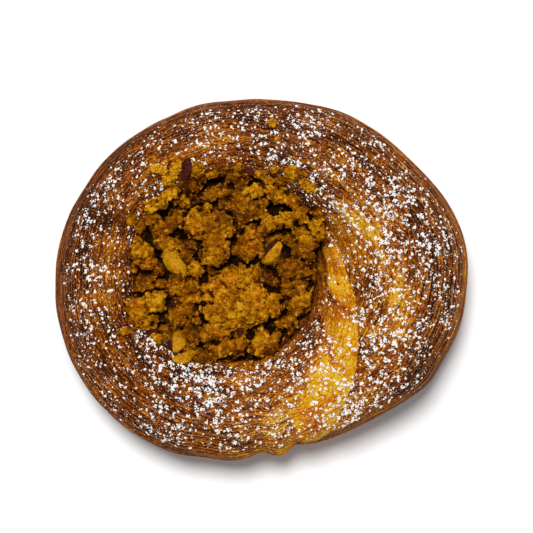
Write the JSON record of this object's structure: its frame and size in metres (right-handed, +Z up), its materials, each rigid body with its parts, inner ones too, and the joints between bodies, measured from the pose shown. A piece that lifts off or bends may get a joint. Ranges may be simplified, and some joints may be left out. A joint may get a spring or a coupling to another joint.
{
  "type": "apple danish",
  "caption": "Round coiled pastry of laminated dough, its tail lapped over its start, with a well filled by a heap of apple and nut crumble.",
  "frame": {"origin": "centre of the pastry's outline seen from above, on the surface it rests on", "axes": "+X along the longest width, towards the side where the tail strand is widest; +Y across; +Z up out of the well"},
  "size_m": [0.1158, 0.1012, 0.0348],
  "materials": {
    "crust": "satin",
    "crumble": "matte",
    "icing_sugar": "matte"
  },
  "bodies": {
    "root": {"dough_coil": "crust", "crumble_heap": "crumble"}
  },
  "joints": []
}
